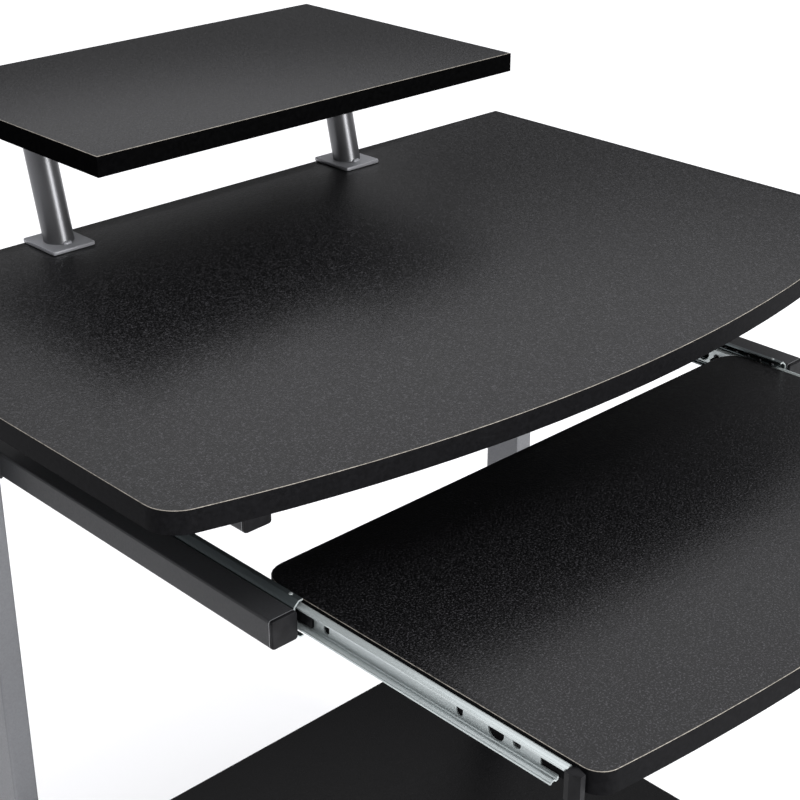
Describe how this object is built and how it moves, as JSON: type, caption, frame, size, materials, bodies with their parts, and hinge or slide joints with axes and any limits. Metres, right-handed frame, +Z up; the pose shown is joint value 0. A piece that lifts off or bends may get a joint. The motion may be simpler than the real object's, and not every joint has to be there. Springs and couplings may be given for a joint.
{
  "type": "computer desk with keyboard tray",
  "caption": "Compact black desk on a grey tube frame, with a bowed pull-out keyboard tray on ball slides, a raised monitor shelf on leaning posts and a low shelf.",
  "frame": {"origin": "on the floor under the middle of the object's bounding box, with the keyboard tray pulled out to its stop", "axes": "+Z up, +Y to the desk's back, +X to the right as a person sitting at the desk sees it"},
  "size_m": [0.7, 0.747, 0.8525],
  "materials": {
    "black_laminate": "fine-grained black laminate on particle board",
    "grey_steel": "satin grey powder coat",
    "dark_steel": "satin charcoal powder coat",
    "silver_steel": "silver, satin",
    "zinc_steel": "zinc plate, bright",
    "black_plastic": "moulded, satin",
    "bright_steel": "zinc plate"
  },
  "bodies": {
    "frame": {"desktop": "black_laminate", "desktop_screw_left_front": "bright_steel", "desktop_screw_left_rear": "bright_steel", "desktop_screw_right_front": "bright_steel", "desktop_screw_right_rear": "bright_steel", "foot_tube_cap_left_front": "black_plastic", "foot_tube_cap_left_rear": "black_plastic", "foot_tube_cap_right_front": "black_plastic", "foot_tube_cap_right_rear": "black_plastic", "foot_tube_left": "grey_steel", "foot_tube_right": "grey_steel", "glide_left_front": "black_plastic", "glide_left_rear": "black_plastic", "glide_right_front": "black_plastic", "glide_right_rear": "black_plastic", "keyboard_rail_cap_left_front": "black_plastic", "keyboard_rail_cap_left_rear": "black_plastic", "keyboard_rail_cap_right_front": "black_plastic", "keyboard_rail_cap_right_rear": "black_plastic", "keyboard_rail_left": "dark_steel", "keyboard_rail_right": "dark_steel", "leg_left": "grey_steel", "leg_right": "grey_steel", "lower_rail_cap_left_front": "black_plastic", "lower_rail_cap_left_rear": "black_plastic", "lower_rail_cap_right_front": "black_plastic", "lower_rail_cap_right_rear": "black_plastic", "lower_rail_left": "dark_steel", "lower_rail_right": "dark_steel", "lower_shelf": "black_laminate", "lower_stretcher": "dark_steel", "lower_stretcher_bolt_left": "bright_steel", "lower_stretcher_bolt_right": "bright_steel", "monitor_post_left": "silver_steel", "monitor_post_right": "silver_steel", "monitor_shelf": "black_laminate", "outer_slide_left": "zinc_steel", "outer_slide_right": "zinc_steel", "post_base_plate_left": "silver_steel", "post_base_plate_right": "silver_steel", "post_bolt_left": "bright_steel", "post_bolt_right": "bright_steel", "post_top_plate_left": "silver_steel", "post_top_plate_right": "silver_steel", "top_tube_cap_left_front": "black_plastic", "top_tube_cap_left_rear": "black_plastic", "top_tube_cap_right_front": "black_plastic", "top_tube_cap_right_rear": "black_plastic", "top_tube_left": "dark_steel", "top_tube_right": "dark_steel", "upper_stretcher": "dark_steel", "upper_stretcher_bolt_left": "bright_steel", "upper_stretcher_bolt_right": "bright_steel"},
    "tray": {"keyboard_tray": "black_laminate", "inner_slide_left": "zinc_steel", "inner_slide_right": "zinc_steel", "slide_bumper_left": "black_plastic", "slide_bumper_right": "black_plastic"},
    "cage_left": {"ball_cage_left": "zinc_steel"},
    "cage_right": {"ball_cage_right": "zinc_steel"}
  },
  "joints": [
    {"name": "tray_slide", "type": "slide", "parent": "frame", "child": "tray", "axis": [0, 1, 0], "range_m": [0, 0.213]},
    {"name": "cage_slide_left", "type": "slide", "parent": "frame", "child": "cage_left", "axis": [0, 1, 0], "range_m": [0, 0.1065]},
    {"name": "cage_slide_right", "type": "slide", "parent": "frame", "child": "cage_right", "axis": [0, 1, 0], "range_m": [0, 0.1065]}
  ],
  "couplings": [
    {"joint": "cage_slide_left", "follows": "tray_slide", "ratio": 0.5},
    {"joint": "cage_slide_right", "follows": "tray_slide", "ratio": 0.5}
  ]
}
